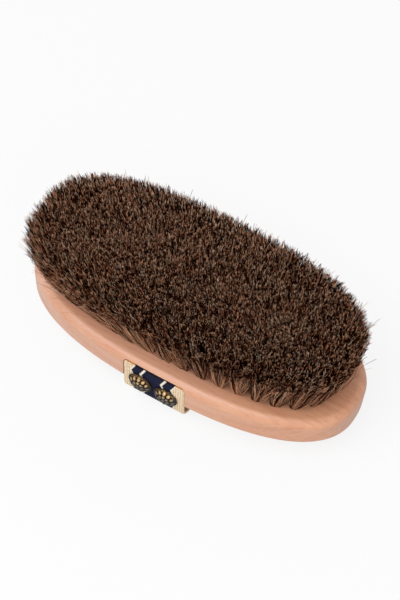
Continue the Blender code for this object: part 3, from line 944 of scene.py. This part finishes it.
def cap_mesh(name, outer_radius, crown, seat):
    """A stamped cap: domed and embossed outside, a rolled rim, smooth and hollow inside."""
    shape = bmesh.new()
    relief_layer = shape.verts.layers.float.new("relief")
    outer_reach = outer_radius - CAP_RIM_WIDTH
    inner_reach = outer_reach - CAP_SHEET
    turns = [2 * math.pi * i / CAP_TURNS for i in range(CAP_TURNS)]

    def dome(radius, top, reach):
        shoulder = math.sqrt(max(0.0, 1 - (radius / reach) ** 2))
        return CAP_RIM_HEIGHT + (top - CAP_RIM_HEIGHT) * shoulder

    def ring_of(radius, height, pattern=0.0):
        ring = []
        for turn in turns:
            raised = stamped(radius, turn) if pattern else 0.0
            z = height + pattern * (raised - 1)
            place = seat @ Vector((radius * math.cos(turn), radius * math.sin(turn), z))
            corner = shape.verts.new(place)
            corner[relief_layer] = raised if pattern else UNSTAMPED_SHADE
            ring.append(corner)
        return ring

    rings = []
    for step in range(1, CAP_HOLLOW_RINGS + 1):
        radius = inner_reach * step / CAP_HOLLOW_RINGS
        height = dome(radius, crown - CAP_SHEET, inner_reach) - CAP_SHEET / 2
        rings.append(ring_of(radius, height))
    rings.append(ring_of(inner_reach, 0.0))
    for turn in np.linspace(-math.pi / 2, math.pi / 2, CAP_RIM_STEPS):
        radius = outer_radius - CAP_RIM_HEIGHT / 2 * (1 - math.cos(turn))
        rings.append(ring_of(radius, CAP_RIM_HEIGHT / 2 * (1 + math.sin(turn))))
    for step in range(CAP_RINGS, 0, -1):
        radius = outer_reach * step / CAP_RINGS
        rings.append(ring_of(radius, dome(radius, crown, outer_reach), RELIEF))
    join_rings(shape, rings)
    close_ends(shape, rings)
    bmesh.ops.recalc_face_normals(shape, faces=shape.faces)
    return piece(name, shape, antique_brass, crease=CAP_CREASE)


for node in sorted(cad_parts):
    if node.endswith("tack_cap"):
        low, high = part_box(node)
        side = 1 if low.y > 0 else -1
        seat_y = low.y if side > 0 else high.y
        seat = Matrix.Translation(((low.x + high.x) / 2, seat_y, (low.z + high.z) / 2))
        seat = seat @ Matrix.Rotation(-side * math.pi / 2, 4, "X")
        cap = cap_mesh(f"{node}_stamped", (high.x - low.x) / 2, high.y - low.y, seat)
        set_on_brush(cap, "antique_brass", node)
    elif node.endswith("tack_pin"):
        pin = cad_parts[node]
        pin.data.materials.clear()
        pin.data.materials.append(steel)

# The stage is a plain pale floor under soft studio light. The floor and the world show nearly
# white to the camera, with strengths up to 1, so the background needs no more light.
FLOOR_HALF = 3.0
FLOOR_COLOUR = linear(226, 226, 227)
FLOOR_MOTTLE = linear(222, 223, 226)
MOTTLE_SIZE = (0.4, 0.4, 0.4)
MOTTLE_SHARE = 0.1
FLOOR_GLOW = linear(254, 254, 254)
FLOOR_GLOW_SHARE = 0.84
WORLD_LIGHT = 0.60
LAMP_SIZE = 0.9
KEY_POWER = 13.5
KEY_PLACE = (-0.25, -0.60, 1.25)
FILL_POWER = 3.3
FILL_PLACE = (0.9, -0.8, 0.7)

floor_finish, floor_shader, ground = new_finish(
    "floor", {"Roughness": 0.9, "Specular IOR Level": 0.0}
)
mottle = ground.place().cloud(MOTTLE_SIZE) * MOTTLE_SHARE
drive(floor_shader, "Base Color", mottle.between(FLOOR_COLOUR, FLOOR_MOTTLE))
glow = ground.add("ShaderNodeEmission", {}, {"Color": FLOOR_GLOW, "Strength": 1})
glow_share = ground.add("ShaderNodeLightPath", output="Is Camera Ray") * FLOOR_GLOW_SHARE
lit = Wire(ground.tree, floor_shader.outputs[0])
lit_and_glow = ground.add("ShaderNodeMixShader", {}, {0: glow_share, 1: lit, 2: glow})
drive(ground.tree.nodes["Material Output"], "Surface", lit_and_glow)
shape = bmesh.new()
bmesh.ops.create_grid(shape, x_segments=8, y_segments=8, size=FLOOR_HALF)
floor = piece("floor", shape, floor_finish)

world = bpy.data.worlds.new("studio")
world.use_nodes = True
bpy.context.scene.world = world
sky = Wire(world.node_tree)
background = world.node_tree.nodes["Background"]
background.inputs["Color"].default_value = (1, 1, 1, 1)
seen = sky.add("ShaderNodeLightPath", output="Is Camera Ray")
for ray in ("Is Glossy Ray", "Is Transmission Ray"):
    seen = seen + sky.add("ShaderNodeLightPath", output=ray)
strength = seen.maths("MINIMUM", 1.0) * (1 - WORLD_LIGHT) + WORLD_LIGHT
drive(background, "Strength", strength)


def lamp(name, power, place):
    """A square soft light that faces the brush."""
    light = bpy.data.lights.new(name, "AREA")
    light.energy = power
    light.size = LAMP_SIZE
    made = put_in_scene(name, light)
    made.location = place
    made.rotation_euler = (-Vector(place)).to_track_quat("-Z", "Y").to_euler()


lamp("key", KEY_POWER, KEY_PLACE)
lamp("fill", FILL_POWER, FILL_PLACE)

# The camera stands where the photograph was taken from, above the brush's right end on the near
# side. Its place, turn and lens were found from the outlines of the block and of the hair.
CAMERA_AZIMUTH = 26.51
CAMERA_ELEVATION = 57.842
CAMERA_ROLL = 4.198
CAMERA_PLACE = (0.17441, -0.34820, 0.67236)
SENSOR_HEIGHT = 36.0
LENS = 81.91

azimuth = math.radians(CAMERA_AZIMUTH)
elevation = math.radians(CAMERA_ELEVATION)
roll = math.radians(CAMERA_ROLL)
back = Vector(
    (
        math.sin(azimuth) * math.cos(elevation),
        -math.cos(azimuth) * math.cos(elevation),
        math.sin(elevation),
    )
)
right = Vector((math.cos(azimuth), math.sin(azimuth), 0))
up = back.cross(right)
rolled_right = math.cos(roll) * right + math.sin(roll) * up
rolled_up = math.cos(roll) * up - math.sin(roll) * right
turned = Matrix((rolled_right, rolled_up, back)).transposed().to_4x4()
lens = bpy.data.cameras.new("camera")
lens.sensor_fit = "VERTICAL"
lens.sensor_height = SENSOR_HEIGHT
lens.lens = LENS
camera = put_in_scene("camera", lens)
camera.matrix_world = Matrix.Translation(CAMERA_PLACE) @ turned
bpy.context.scene.camera = camera
bpy.context.scene.view_settings.view_transform = "Standard"
